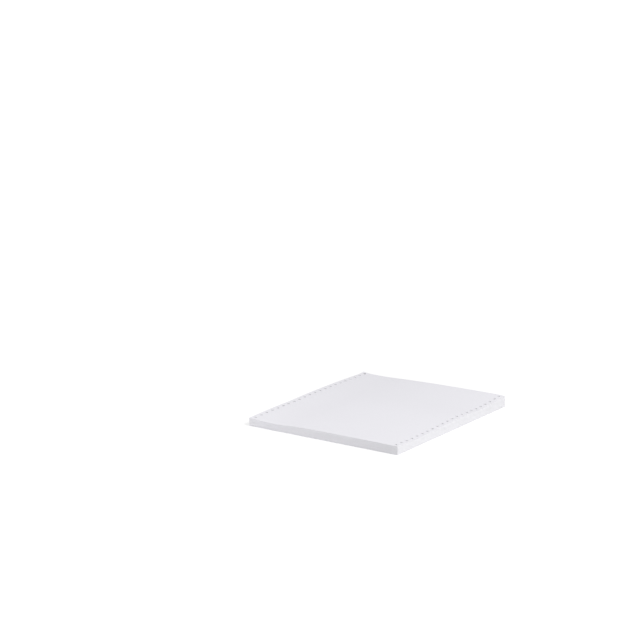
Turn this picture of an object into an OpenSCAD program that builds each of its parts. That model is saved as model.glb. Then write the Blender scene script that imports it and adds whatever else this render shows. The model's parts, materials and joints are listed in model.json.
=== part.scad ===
// Stack of continuous computer paper: one web, folded to and fro at its cross perforations.
// X runs across the web, Y along the feed, Z up. The origin is the middle of the underside.

/* [Web] */
// Width of the web from cut edge to cut edge, both punched strips included
web_w = 241.3; // [120:0.1:420]
// Length of one form, from fold to fold
form_l = 279.4; // [203.2:12.7:355.6]
// Number of forms in the stack
forms = 124; // [20:2:300]
// Height that each form takes up where the stack lies tight
form_t = 0.1; // [0.07:0.005:0.16]

/* [Folds] */
// Extra height of the stack along its front end, where the creases are pressed nearly flat
front_swell = 0.2; // [0:0.1:5]
// Extra height of the stack along its back end, where the creases spring open
back_swell = 3.8; // [0:0.1:5]
// Distance over which the stack thickens towards a folded end
swell_l = 75; // [30:5:95]
// How far each crease stands out from the groove beside it
crease_out = 0.1; // [0.05:0.01:0.2]

/* [Feed holes] */
// Diameter of a feed hole
hole_d = 4; // [3:0.1:5]
// Distance between neighbouring feed holes
hole_pitch = 12.7; // [8:0.1:25.4]
// Distance from a cut edge to the centres of its feed holes
hole_edge = 6.35; // [4:0.05:8]

/* [Tear lines] */
// Width of the strip that tears off along each cut edge
strip_w = 12.7; // [11:0.1:20]
// Length of one perforation cut
cut_l = 4.8; // [2:0.1:6]
// Width of one perforation cut
cut_w = 0.15; // [0.1:0.05:0.3]
// Paper left between neighbouring cuts
tie_l = 1.5; // [0.5:0.1:3]

/* [Hidden] */

paper_white = [0.93, 0.93, 0.945];

// Heights
mid_t = forms * form_t;
front_t = mid_t + front_swell;
back_t = mid_t + back_swell;
eps = 1;
cut_h = max(front_t, back_t) + 2 * eps;

// Folds: every second one lies at the front end, and the others at the back
front_creases = forms / 2;
back_creases = front_creases - 1;
front_crease_h = front_t / front_creases;
back_crease_h = back_t / front_creases;
end_y = form_l / 2;
groove_y = end_y - crease_out;
swell_steps = 8;

// Feed holes, centred on the form's length so that their spacing carries on across each fold
holes = floor(form_l / hole_pitch + 0.01);
hole_x = web_w / 2 - hole_edge;

// Tear lines, which end with paper at both folds
tear_x = web_w / 2 - strip_w;
cut_pitch = cut_l + tie_l;
cuts = floor((form_l - tie_l - 2 * crease_out) / cut_pitch);

// Offsets of n places at one pitch, centred on 0
function centred(n, pitch) = [for (i = [0:n - 1]) (i - (n - 1) / 2) * pitch];

// The rounded creases of one end, each h high, from the bottom up, as [distance from mid-length, height]
function creases(n, h, first_z) = [
    for (i = [0:n - 1], a = [-90:45:45])
        [groove_y + crease_out * cos(a), first_z + h * (i + (1 + sin(a)) / 2)]
];

function front_end() = concat(creases(front_creases, front_crease_h, 0), [[groove_y, front_t]]);

// Both ends of the web lie at the back, where they leave a cut edge at the bottom and at the top
function back_end() = concat(
    [[end_y, 0], [end_y, back_crease_h / 3]],
    creases(back_creases, back_crease_h, back_crease_h / 2),
    [[groove_y, back_t - back_crease_h / 2], [end_y, back_t - back_crease_h / 3], [end_y, back_t]]
);

// The top from a folded end that is swell higher than the middle: a smooth fall towards the middle
function falling_top(swell) = [
    for (i = [1:swell_steps])
        let (share = i / swell_steps)
        [groove_y - swell_l * share, mid_t + swell * (1 + cos(180 * share)) / 2]
];

function reversed(points) = [for (i = [len(points) - 1:-1:0]) points[i]];

// Side view of the folded web, as [y, z]: up the back end, over the top and down the front end
module side_view() {
    back_half = concat(back_end(), falling_top(back_swell));
    front_half = concat(front_end(), falling_top(front_swell));
    polygon(concat(back_half, [for (p = reversed(front_half)) [-p[0], p[1]]]));
}

// Turns a side view in [y, z] into a solid that spans the web's width
module across_web() {
    rotate([90, 0, 90])
        linear_extrude(height = web_w, center = true)
            children();
}

// Two rows of feed holes, one in each strip
module feed_holes() {
    for (side = [-1, 1], y = centred(holes, hole_pitch))
        translate([side * hole_x, y, -eps])
            cylinder(d = hole_d, h = cut_h, $fn = 48);
}

// Two lines of perforation cuts, which let the strips tear off
module tear_lines() {
    for (side = [-1, 1], y = centred(cuts, cut_pitch))
        translate([side * tear_x - cut_w / 2, y - cut_l / 2, -eps])
            cube([cut_w, cut_l, cut_h]);
}

module paper_stack() {
    color(paper_white)
        difference() {
            across_web() side_view();
            feed_holes();
            tear_lines();
        }
}

paper_stack();
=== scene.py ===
import json
import math

import bpy
import numpy as np
from mathutils import Matrix, Vector
from mathutils.geometry import delaunay_2d_cdt


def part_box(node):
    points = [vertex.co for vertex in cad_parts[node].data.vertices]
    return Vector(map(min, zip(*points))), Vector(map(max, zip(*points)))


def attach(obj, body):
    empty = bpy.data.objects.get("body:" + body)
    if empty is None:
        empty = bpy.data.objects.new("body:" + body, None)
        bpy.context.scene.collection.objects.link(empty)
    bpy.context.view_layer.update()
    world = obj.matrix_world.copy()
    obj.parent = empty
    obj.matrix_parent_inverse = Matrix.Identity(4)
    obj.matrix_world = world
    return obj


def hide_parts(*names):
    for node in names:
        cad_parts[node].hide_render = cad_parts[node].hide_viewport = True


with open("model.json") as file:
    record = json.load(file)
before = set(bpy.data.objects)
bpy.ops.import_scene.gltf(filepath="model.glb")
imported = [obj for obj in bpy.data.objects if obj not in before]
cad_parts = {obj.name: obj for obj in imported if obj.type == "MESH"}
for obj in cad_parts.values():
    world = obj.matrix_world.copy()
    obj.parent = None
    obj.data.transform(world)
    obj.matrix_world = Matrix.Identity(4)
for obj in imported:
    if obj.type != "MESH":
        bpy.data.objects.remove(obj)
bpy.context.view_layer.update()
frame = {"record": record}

# Everything below is in metres, in the frame's own axes: X across the web, Y along the feed, Z up
MM = 0.001

# The stack: its forms, and how far creases and cut edges stand out of the grooves between them
FORMS = 124
CREASE_OUT = 0.10 * MM
EDGE_GROOVE = 0.01 * MM

# Height in millimetres along each side of the stack, evenly spaced, as the photograph shows it
FRONT_HEIGHTS = (11.5, 9.6, 11.4, 12.0, 12.0, 12.1, 11.7)
BACK_HEIGHTS = (15.0, 14.2, 15.3, 16.3, 16.4, 16.5, 16.5)
LEFT_HEIGHTS = (11.5, 13.2, 13.9, 15.3, 15.9, 15.8, 15.0)
RIGHT_HEIGHTS = (11.7, 10.5, 10.7, 11.6, 13.0, 13.3, 12.2, 13.5, 16.5)
MIDDLE_SAG = 0.9

# The back right corner, which bends down a little
CORNER_DROOP = 1.1 * MM
DROOP_REACH = 9 * MM

# The uppermost form, which lies loose along its free edge at the back and curls up at the left corner
CORNER_CURL = 1.5 * MM
CURL_REACH = 14 * MM
CURL_POWER = 1.5
FREE_EDGE_LIFT = 0.2 * MM
LIFT_REACH = 30 * MM
LIFT_HUMPS = 2
SHEET_GAP = 0.01 * MM

# Feed holes, and the cuts of the tear lines, which narrow to a point over the last part of their length
FEED_PITCH = 12.7 * MM
STRIP_W = 12.7 * MM
CUT_L = 4.8 * MM
TIE_L = 1.5 * MM
CUT_W = 0.08 * MM
CUT_FULL_WIDTH_SHARE = 0.8

# Unevenness of the forms: the largest usual distances out of line, and waves in radians a metre
SEED = 11
CREASE_JITTER = 0.07 * MM
CREASE_WAVE = 0.05 * MM
CREASE_WAVES = 42
EDGE_JITTER = 0.015 * MM
DRIFT = 0.08 * MM
DRIFT_STEPS = 7

# Fineness of the mesh: a hole's wall is fine where light reaches it, and coarse further down
STEP = 6.35 * MM
SHARP_ANGLE = math.radians(30)
RING_POINTS = 20
FINE_HOLE_FORMS = 20
COARSE_HOLE_STEP = 8

# How far the plan's inner points keep from a hole's centre, in radii, and from a tear line
HOLE_KEEP_OUT = 1.4
CUT_KEEP_OUT = STEP / 4
MERGE_DISTANCE = 1e-9

# Paper: the tones of a sheet's face and of its edges, each between a darker and a lighter one. The edge
# tones are set darker than the face tones as painted shade on the sides, creases and hole walls, so that
# the top looks lit against them
FACE_TONES = ((0.858, 0.850, 0.893, 1), (0.888, 0.880, 0.923, 1))
EDGE_TONES_WITH_PAINTED_SHADE = ((0.780, 0.775, 0.802, 1), (0.890, 0.885, 0.915, 1))
ROUGHNESS = 0.85
SPECULAR = 0.25

# Scale and detail of the noise in the paper: clouds on a face, streaks along an edge, and fibres
CLOUDS = (900, 3)
STREAKS = (1, 2)
FIBRES = (3500, 2)
STREAKS_PER_METRE = 30
FIBRE_DEPTH = 0.02 * MM
FIBRE_STRENGTH = 0.15

# Upright share of the normal from which a surface starts to look like a face, and fully does; steeper
# surfaces take the darker edge tones, which are painted shade
FACE_FROM = 0.85
FACE_TO = 0.95
LEVEL_ATTRIBUTE = "form_level"

# Floor, whose glow for the camera is low up to the near distance and white from the far one on
FLOOR_SIZE = 40
FLOOR_GAP = 0.2 * MM
FLOOR_TONE = 0.8
FLOOR_GLOW = 0.34
GLOW_NEAR = 0.2
GLOW_FAR = 0.6

# World and lamps
WHITE = (1, 1, 1, 1)
WORLD_LEVEL = 0.53
KEY_LAMP = {"place": (1.5, -0.15, 1.4), "size": 1.0, "power": 22.2}
FILL_LAMP = {"place": (-0.45, -0.62, 0.21), "size": 0.3, "power": 1.33}

# Camera, fitted to the feed holes and the stack's lower edges, with its angles in degrees
AZIMUTH = 35.43
ELEVATION = 12.94
ROLL = -0.34
DISTANCE = 2.508
FOCAL_PX = 1802
IMAGE_PX = 640
SENSOR_MM = 36
SIDEWAYS = 0.08252
UPWARDS = -0.13374

random = np.random.default_rng(SEED)

stack_low, stack_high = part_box("paper_stack")
WEB_W = stack_high.x - stack_low.x
FORM_L = stack_high.y - stack_low.y
mounts = {mount["name"]: mount for mount in frame["record"]["mounts"]}
hole_dims = mounts["feed_holes"]["dims"]
HOLE_R = hole_dims["hole_r_mm"] * MM
HOLE_X = hole_dims["spacing_x_mm"] * MM / 2
HOLE_COUNT = round(hole_dims["spacing_y_mm"] * MM / FEED_PITCH) + 1
TEAR_X = WEB_W / 2 - STRIP_W


def smooth_through(values, share):
    """A smooth curve (Catmull-Rom) through evenly spaced values, read at shares of its length, 0 to 1."""
    v = np.asarray(values, float)
    padded = np.concatenate([[2 * v[0] - v[1]], v, [2 * v[-1] - v[-2]]])
    place = np.clip(np.asarray(share, float), 0, 1) * (len(v) - 1)
    k = np.minimum(place.astype(int), len(v) - 2)
    t = place - k
    a, b, c, d = padded[k], padded[k + 1], padded[k + 2], padded[k + 3]
    return b + 0.5 * t * (c - a + t * (2 * a - 5 * b + 4 * c - d + t * (3 * (b - c) + d - a)))


def ramp(value):
    """A smooth rise from 0 to 1 as value goes from 0 to 1."""
    t = np.clip(value, 0, 1)
    return t * t * (3 - 2 * t)


def stack_height(x, y):
    """Height of the stack: a patch stretched between its four sides, sagging a little in the middle."""
    u = np.clip(x / WEB_W + 0.5, 0, 1)
    v = np.clip(y / FORM_L + 0.5, 0, 1)
    front = smooth_through(FRONT_HEIGHTS, u)
    back = smooth_through(BACK_HEIGHTS, u)
    left = smooth_through(LEFT_HEIGHTS, v)
    right = smooth_through(RIGHT_HEIGHTS, v)
    corners = (
        (1 - u) * (1 - v) * FRONT_HEIGHTS[0]
        + u * (1 - v) * FRONT_HEIGHTS[-1]
        + (1 - u) * v * BACK_HEIGHTS[0]
        + u * v * BACK_HEIGHTS[-1]
    )
    # 16 makes the sag reach its full depth in the middle
    sag = MIDDLE_SAG * 16 * u * (1 - u) * v * (1 - v)
    from_corner = np.hypot(WEB_W / 2 - x, FORM_L / 2 - y)
    droop = CORNER_DROOP * ramp(1 - from_corner / DROOP_REACH)
    return ((1 - v) * front + v * back + (1 - u) * left + u * right - corners - sag) * MM - droop


def top_form_lift(x, y):
    """How far the uppermost form rises off the stack: along its free edge, and more at its left corner."""
    from_edge = FORM_L / 2 - y
    humps = np.sin(math.pi * LIFT_HUMPS * (x / WEB_W + 0.5)) ** 2
    along = FREE_EDGE_LIFT * ramp(1 - from_edge / LIFT_REACH) * humps
    from_corner = np.hypot(x + WEB_W / 2, from_edge)
    curl = CORNER_CURL * ramp(1 - from_corner / CURL_REACH) ** CURL_POWER
    return SHEET_GAP + along + curl


def centred(count, pitch):
    """Places of count things at one pitch, centred on 0."""
    return [(i - (count - 1) / 2) * pitch for i in range(count)]


def outer_loop():
    """Points round the web, counter-clockwise from the front left corner."""
    across = round(WEB_W / STEP)
    along = round(FORM_L / STEP)
    half_w, half_l = WEB_W / 2, FORM_L / 2
    sides = (
        ((-half_w, -half_l), (half_w, -half_l), across),
        ((half_w, -half_l), (half_w, half_l), along),
        ((half_w, half_l), (-half_w, half_l), across),
        ((-half_w, half_l), (-half_w, -half_l), along),
    )
    points = []
    for start, end, steps in sides:
        for i in range(steps):
            t = i / steps
            points.append((start[0] + t * (end[0] - start[0]), start[1] + t * (end[1] - start[1])))
    return points


def hole_loop(x, y):
    """Points round a feed hole."""
    turns = [2 * math.pi * i / RING_POINTS for i in range(RING_POINTS)]
    return [(x + HOLE_R * math.cos(a), y + HOLE_R * math.sin(a)) for a in turns]


def cut_loop(x, y):
    """Points round a perforation cut: a slit that comes to a point at each end."""
    w, tip = CUT_W / 2, CUT_L / 2
    full = tip * CUT_FULL_WIDTH_SHARE
    corners = ((0, -tip), (w, -full), (w, full), (0, tip), (-w, full), (-w, -full))
    return [(x + dx, y + dy) for dx, dy in corners]


def plan_of_form():
    """Plan of one form with its holes and cuts: points, triangles and the loops that bound it."""
    hole_centres = [(side * HOLE_X, y) for side in (-1, 1) for y in centred(HOLE_COUNT, FEED_PITCH)]
    cut_pitch = CUT_L + TIE_L
    cut_count = int((FORM_L - TIE_L - 2 * CREASE_OUT) / cut_pitch)
    cut_centres = [(side * TEAR_X, y) for side in (-1, 1) for y in centred(cut_count, cut_pitch)]
    rim = outer_loop()
    holes = [hole_loop(x, y) for x, y in hole_centres]
    cuts = [cut_loop(x, y) for x, y in cut_centres]
    inside = []
    keep_out = HOLE_R * HOLE_KEEP_OUT
    for x in centred(round(WEB_W / STEP) - 1, STEP):
        for y in centred(round(FORM_L / STEP) - 1, STEP):
            near_hole = any(math.hypot(x - hx, y - hy) < keep_out for hx, hy in hole_centres)
            if not near_hole and abs(abs(x) - TEAR_X) > CUT_KEEP_OUT:
                inside.append((x, y))
    points, edges, loops = [], [], []
    for loop in [rim] + holes + cuts:
        first = len(points)
        points += loop
        loops.append(list(range(first, len(points))))
        edges += [(first + i, first + (i + 1) % len(loop)) for i in range(len(loop))]
    points += inside
    flat_points = [Vector(p) for p in points]
    found, _, faces, origins, _, _ = delaunay_2d_cdt(flat_points, edges, [], 0, MERGE_DISTANCE)
    index = {}
    for new, olds in enumerate(origins):
        for old in olds:
            index[old] = new
    loops = [[index[i] for i in loop] for loop in loops]
    loop_of = {i: k for k, loop in enumerate(loops) for i in loop}

    def in_opening(face):
        """True for a triangle that spans a hole or a cut: all of its corners lie on that one loop."""
        owners = {loop_of.get(i, 0) for i in face}
        return len(owners) == 1 and 0 not in owners

    plan = np.array([(p.x, p.y) for p in found])
    triangles = [tuple(f) for f in faces if not in_opening(f)]
    return plan, triangles, loops


def unevenness():
    """How far each form and each crease lies out of line: usually up to the named distance."""
    creases = FORMS // 2 + 1
    return {
        "front": random.normal(0, CREASE_JITTER / 2, creases),
        "back": random.normal(0, CREASE_JITTER / 2, creases),
        "front_phase": random.uniform(0, 2 * math.pi, creases),
        "back_phase": random.uniform(0, 2 * math.pi, creases),
        "left": random.normal(0, EDGE_JITTER / 2, FORMS),
        "right": random.normal(0, EDGE_JITTER / 2, FORMS),
        "drift_x": random.uniform(-DRIFT, DRIFT, DRIFT_STEPS),
        "drift_y": random.uniform(-DRIFT, DRIFT, DRIFT_STEPS),
    }


def crease_line(at, x, base, phase, first_crease):
    """How far the creases stand out of line at x, at a height counted in forms from the bottom."""
    k = (at - first_crease) / 2
    low = min(max(math.floor(k), 0), len(base) - 2)
    t = min(max(k - low, 0), 1)
    wave_low = base[low] + CREASE_WAVE * np.sin(x * CREASE_WAVES + phase[low])
    wave_high = base[low + 1] + CREASE_WAVE * np.sin(x * CREASE_WAVES + phase[low + 1])
    return wave_low * (1 - t) + wave_high * t


def rim_place(plan, at, uneven):
    """Places of the rim's points at a height counted in forms: the creases and cut edges of the web."""
    x, y = plan[:, 0], plan[:, 1]
    at_web_end = at >= FORMS - 1 or at < 1
    front_out = CREASE_OUT * math.sin(math.pi * (at % 2) / 2)
    back_out = CREASE_OUT if at_web_end else CREASE_OUT * math.sin(math.pi * ((at + 1) % 2) / 2)
    front_line = crease_line(at, x, uneven["front"], uneven["front_phase"], 1)
    back_line = crease_line(at, x, uneven["back"], uneven["back_phase"], 0)
    centres = np.arange(FORMS) + 0.5
    between_forms = at == int(at)
    edge_out = -EDGE_GROOVE if between_forms else 0
    left_line = np.interp(at, centres, uneven["left"])
    right_line = np.interp(at, centres, uneven["right"])
    on_front, on_back = np.isclose(y, -FORM_L / 2), np.isclose(y, FORM_L / 2)
    on_left, on_right = np.isclose(x, -WEB_W / 2), np.isclose(x, WEB_W / 2)
    out_x = on_right * (edge_out + right_line) - on_left * (edge_out + left_line)
    out_y = on_back * (back_out - CREASE_OUT + back_line) - on_front * (front_out - CREASE_OUT + front_line)
    return x + out_x, y + out_y


def add_forms(shell, first, last, plan, triangles, loops, uneven, lift):
    """Adds a closed shell of the forms from first to last: their creases, cut edges, holes and cuts."""
    vertices, faces, smooth, levels = shell["vertices"], shell["faces"], shell["smooth"], shell["levels"]

    def add(x, y, at):
        """Adds the points x, y at a height counted in forms, and gives the number of the first."""
        start = len(vertices)
        share = at / FORMS
        z = stack_height(x, y) * share + lift(x, y)
        shift_x = smooth_through(uneven["drift_x"], share)
        shift_y = smooth_through(uneven["drift_y"], share)
        vertices.extend(np.stack([x + shift_x, y + shift_y, z], 1).tolist())
        levels.extend([at] * len(x))
        return start

    def flat_form(at):
        """Adds the whole plan of a form, with its rim out of line as it is at that height."""
        x, y = plan[:, 0].copy(), plan[:, 1].copy()
        rim = loops[0]
        x[rim], y[rim] = rim_place(plan[rim], at, uneven)
        return add(x, y, at)

    bottom = flat_form(first)
    top = flat_form(last)
    faces.extend((bottom + c, bottom + b, bottom + a) for a, b, c in triangles)
    faces.extend((top + a, top + b, top + c) for a, b, c in triangles)
    smooth.extend([True] * 2 * len(triangles))

    def wall(rows, outwards):
        """Adds the faces between rows of points, each row a closed loop over the last."""
        for below, above in zip(rows, rows[1:]):
            for i in range(len(below)):
                j = (i + 1) % len(below)
                quad = (below[i], below[j], above[j], above[i])
                faces.append(quad if outwards else quad[::-1])
                smooth.append(False)

    def rows_between(loop, heights, place):
        """Rows of points up a wall, from the lower plan to the upper one, as place puts them."""
        rows = [[bottom + i for i in loop]]
        for at in heights:
            x, y = place(plan[loop], at)
            start = add(x, y, at)
            rows.append(list(range(start, start + len(loop))))
        rows.append([top + i for i in loop])
        return rows

    half_forms = [first + k / 2 for k in range(1, 2 * (last - first))]
    wall(rows_between(loops[0], half_forms, lambda p, at: rim_place(p, at, uneven)), True)

    fine_from = max(first + 1, last - FINE_HOLE_FORMS)
    coarse = list(range(first + COARSE_HOLE_STEP, fine_from, COARSE_HOLE_STEP))
    fine = list(range(fine_from, last))
    for loop in loops[1:]:
        is_hole = len(loop) == RING_POINTS
        shift = random.normal(0, EDGE_JITTER / 2, (FORMS + 1, 2))

        def opening_place(p, at):
            """Places of an opening's points at a form, a little out of line with those of the next."""
            return p[:, 0] + shift[at, 0], p[:, 1] + shift[at, 1]

        wall(rows_between(loop, coarse + fine if is_hole else [], opening_place), False)


def no_lift(x, y):
    """The forms that lie tight don't lift."""
    return np.zeros_like(x)


def maths(tree, operation, *inputs):
    """A maths node on one or two sockets; gives the socket of its result."""
    node = tree.nodes.new("ShaderNodeMath")
    node.operation = operation
    for i, socket in enumerate(inputs):
        tree.links.new(socket, node.inputs[i])
    return node.outputs[0]


def noise(tree, vector, scale, detail):
    """Noise between 0 and 1 at the places that vector gives."""
    texture = tree.nodes.new("ShaderNodeTexNoise")
    texture.inputs["Scale"].default_value = scale
    texture.inputs["Detail"].default_value = detail
    tree.links.new(vector, texture.inputs["Vector"])
    return texture.outputs["Fac"]


def colour_mix(tree, factor, a, b):
    """A mix of two colours, or of two sockets that give them."""
    mix = tree.nodes.new("ShaderNodeMix")
    mix.data_type = "RGBA"
    tree.links.new(factor, mix.inputs["Factor"])
    for name, colour in (("A", a), ("B", b)):
        if isinstance(colour, tuple):
            mix.inputs[name].default_value = colour
        else:
            tree.links.new(colour, mix.inputs[name])
    return mix.outputs["Result"]


def edge_streaks(tree, place):
    """Noise that changes from form to form, and slowly along a cut edge or a crease."""
    level = tree.nodes.new("ShaderNodeAttribute")
    level.attribute_name = LEVEL_ATTRIBUTE
    along_edge = tree.nodes.new("ShaderNodeVectorMath")
    along_edge.operation = "MULTIPLY_ADD"
    along_edge.inputs[1].default_value = (STREAKS_PER_METRE, STREAKS_PER_METRE, 0)
    tree.links.new(place, along_edge.inputs[0])
    tree.links.new(level.outputs["Vector"], along_edge.inputs[2])
    return noise(tree, along_edge.outputs[0], *STREAKS)


def face_vs_painted_shade_share(tree):
    """1 where the surface is a sheet's face, 0 where it is an edge, a crease or a hole's wall, which get
    the darker edge tones as painted shade.
    """
    normal = tree.nodes.new("ShaderNodeNewGeometry")
    axes = tree.nodes.new("ShaderNodeSeparateXYZ")
    tree.links.new(normal.outputs["True Normal"], axes.inputs[0])
    facing = tree.nodes.new("ShaderNodeMapRange")
    facing.inputs["From Min"].default_value = FACE_FROM
    facing.inputs["From Max"].default_value = FACE_TO
    tree.links.new(maths(tree, "ABSOLUTE", axes.outputs["Z"]), facing.inputs["Value"])
    return facing.outputs["Result"]


def paper_material():
    """Bond paper: a faint cloudiness on a sheet's face, and edges whose tone changes from form to form, and
    which are painted darker than the faces as shade.
    """
    material = bpy.data.materials.new("bond_paper")
    material.use_nodes = True
    tree = material.node_tree
    shader = tree.nodes["Principled BSDF"]
    shader.inputs["Roughness"].default_value = ROUGHNESS
    shader.inputs["Specular IOR Level"].default_value = SPECULAR
    place = tree.nodes.new("ShaderNodeTexCoord").outputs["Object"]
    face_tone = colour_mix(tree, noise(tree, place, *CLOUDS), *FACE_TONES)
    # Painted shade: edges, creases and hole walls get tones darker than the faces', chosen by which way the
    # surface faces
    edge_tone_with_painted_shade = colour_mix(tree, edge_streaks(tree, place), *EDGE_TONES_WITH_PAINTED_SHADE)
    tone = colour_mix(tree, face_vs_painted_shade_share(tree), edge_tone_with_painted_shade, face_tone)
    tree.links.new(tone, shader.inputs["Base Color"])

    bump = tree.nodes.new("ShaderNodeBump")
    bump.inputs["Strength"].default_value = FIBRE_STRENGTH
    bump.inputs["Distance"].default_value = FIBRE_DEPTH
    tree.links.new(noise(tree, place, *FIBRES), bump.inputs["Height"])
    tree.links.new(bump.outputs["Normal"], shader.inputs["Normal"])
    return material


def make_paper():
    """One web: the forms that lie tight, and on them the uppermost form, which lifts at its free edge."""
    plan, triangles, loops = plan_of_form()
    uneven = unevenness()
    shell = {"vertices": [], "faces": [], "smooth": [], "levels": []}
    add_forms(shell, 0, FORMS - 1, plan, triangles, loops, uneven, no_lift)
    add_forms(shell, FORMS - 1, FORMS, plan, triangles, loops, uneven, top_form_lift)
    mesh = bpy.data.meshes.new("folded_web")
    mesh.from_pydata(shell["vertices"], [], shell["faces"])
    mesh.polygons.foreach_set("use_smooth", shell["smooth"])
    mesh.set_sharp_from_angle(angle=SHARP_ANGLE)
    mesh.attributes.new(LEVEL_ATTRIBUTE, "FLOAT", "POINT").data.foreach_set("value", shell["levels"])
    mesh.materials.append(paper_material())
    web = bpy.data.objects.new("folded_web", mesh)
    bpy.context.scene.collection.objects.link(web)
    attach(web, "root")
    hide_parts("paper_stack")


def empty_tree(owner):
    """Switches on the nodes of a material or a world, and gives its node tree, emptied."""
    owner.use_nodes = True
    owner.node_tree.nodes.clear()
    return owner.node_tree


def background_share(tree):
    """1 for rays that show the background: from the camera, in a reflection or through glass."""
    path = tree.nodes.new("ShaderNodeLightPath").outputs
    seen = maths(tree, "MAXIMUM", path["Is Camera Ray"], path["Is Glossy Ray"])
    return maths(tree, "MAXIMUM", seen, path["Is Transmission Ray"])


def glow_level(tree):
    """The floor's glow: low near the stack, so that its shadow stays, and white further out."""
    place = tree.nodes.new("ShaderNodeTexCoord")
    distance = tree.nodes.new("ShaderNodeVectorMath")
    distance.operation = "LENGTH"
    tree.links.new(place.outputs["Object"], distance.inputs[0])
    growth = tree.nodes.new("ShaderNodeMapRange")
    growth.interpolation_type = "SMOOTHSTEP"
    growth.inputs["From Min"].default_value = GLOW_NEAR
    growth.inputs["From Max"].default_value = GLOW_FAR
    growth.inputs["To Min"].default_value = FLOOR_GLOW
    growth.inputs["To Max"].default_value = 1
    tree.links.new(distance.outputs["Value"], growth.inputs["Value"])
    return maths(tree, "MULTIPLY", background_share(tree), growth.outputs["Result"])


def floor_material():
    """A pale matt floor, which glows only for rays that show the background."""
    material = bpy.data.materials.new("pale_floor")
    tree = empty_tree(material)
    diffuse = tree.nodes.new("ShaderNodeBsdfDiffuse")
    diffuse.inputs["Color"].default_value = (FLOOR_TONE, FLOOR_TONE, FLOOR_TONE, 1)
    glow = tree.nodes.new("ShaderNodeEmission")
    tree.links.new(glow_level(tree), glow.inputs["Strength"])
    both = tree.nodes.new("ShaderNodeAddShader")
    tree.links.new(diffuse.outputs[0], both.inputs[0])
    tree.links.new(glow.outputs[0], both.inputs[1])
    out = tree.nodes.new("ShaderNodeOutputMaterial")
    tree.links.new(both.outputs[0], out.inputs["Surface"])
    return material


def make_floor():
    """The floor, just under the stack."""
    bpy.ops.mesh.primitive_plane_add(size=FLOOR_SIZE, location=(0, 0, -FLOOR_GAP))
    floor = bpy.context.object
    floor.name = "floor"
    floor.data.materials.append(floor_material())


def white_light(tree, strength):
    """A background node of white light."""
    node = tree.nodes.new("ShaderNodeBackground")
    node.inputs["Color"].default_value = WHITE
    node.inputs["Strength"].default_value = strength
    return node.outputs[0]


def make_world():
    """Even light from all round, and a white background."""
    world = bpy.data.worlds.new("studio")
    bpy.context.scene.world = world
    tree = empty_tree(world)
    mix = tree.nodes.new("ShaderNodeMixShader")
    tree.links.new(background_share(tree), mix.inputs["Fac"])
    tree.links.new(white_light(tree, WORLD_LEVEL), mix.inputs[1])
    tree.links.new(white_light(tree, 1), mix.inputs[2])
    out = tree.nodes.new("ShaderNodeOutputWorld")
    tree.links.new(mix.outputs[0], out.inputs["Surface"])


def make_lamp(name, place, size, power):
    """A square lamp that points at the stack."""
    data = bpy.data.lights.new(name, "AREA")
    data.size = size
    data.energy = power
    lamp = bpy.data.objects.new(name, data)
    lamp.location = place
    lamp.rotation_euler = (-Vector(place)).to_track_quat("-Z", "Y").to_euler()
    bpy.context.scene.collection.objects.link(lamp)


def make_camera():
    """The photograph's camera: it sees the origin SIDEWAYS to the right and UPWARDS of its middle."""
    azimuth, elevation, roll = (math.radians(a) for a in (AZIMUTH, ELEVATION, ROLL))
    level = math.cos(elevation)
    back = Vector((math.sin(azimuth) * level, -math.cos(azimuth) * level, math.sin(elevation)))
    level_right = Vector((math.cos(azimuth), math.sin(azimuth), 0))
    level_up = back.cross(level_right)
    right = math.cos(roll) * level_right + math.sin(roll) * level_up
    up = math.cos(roll) * level_up - math.sin(roll) * level_right
    data = bpy.data.cameras.new("camera")
    data.sensor_width = SENSOR_MM
    data.lens = FOCAL_PX / IMAGE_PX * SENSOR_MM
    camera = bpy.data.objects.new("camera", data)
    turn = Matrix((right, up, back)).transposed()
    place = DISTANCE * back - SIDEWAYS * right - UPWARDS * up
    camera.matrix_world = Matrix.Translation(place) @ turn.to_4x4()
    bpy.context.scene.collection.objects.link(camera)
    bpy.context.scene.camera = camera


make_camera()
make_paper()
make_floor()
make_world()
make_lamp("key", **KEY_LAMP)
make_lamp("fill", **FILL_LAMP)
bpy.context.scene.view_settings.view_transform = "Standard"
